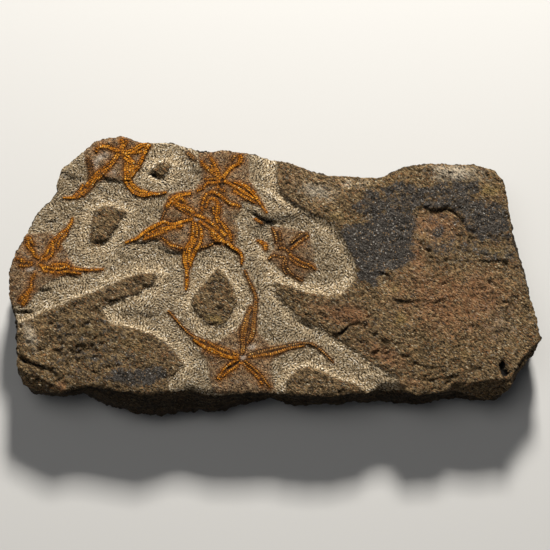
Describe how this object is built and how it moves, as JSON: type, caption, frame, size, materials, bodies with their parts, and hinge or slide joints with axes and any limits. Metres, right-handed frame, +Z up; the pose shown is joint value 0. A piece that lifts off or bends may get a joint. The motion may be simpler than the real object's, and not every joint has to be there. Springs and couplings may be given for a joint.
{
  "type": "fossil brittle star slab",
  "caption": "Broken sandstone slab with fossil brittle stars set in its prepared face, lying on its flat underside.",
  "frame": {"origin": "on the flat underside, in the middle of the footprint", "axes": "+X along the slab's length, +Y towards the notched far side, +Z up out of the fossil face"},
  "size_m": [0.2943, 0.1539, 0.0352],
  "materials": {
    "sandstone": "rough broken sandstone, scraped paler round the fossils",
    "fossil_plates": "matt iron-stained calcite plates"
  },
  "bodies": {
    "root": {"stone_slab": "sandstone", "brittle_star_top_left": "fossil_plates", "brittle_star_left_edge": "fossil_plates", "brittle_star_top_middle": "fossil_plates", "brittle_star_centre": "fossil_plates", "brittle_star_right": "fossil_plates", "brittle_star_bottom": "fossil_plates", "arm_fragment_top": "fossil_plates", "arm_fragment_upper": "fossil_plates", "arm_fragment_right": "fossil_plates"}
  },
  "joints": []
}
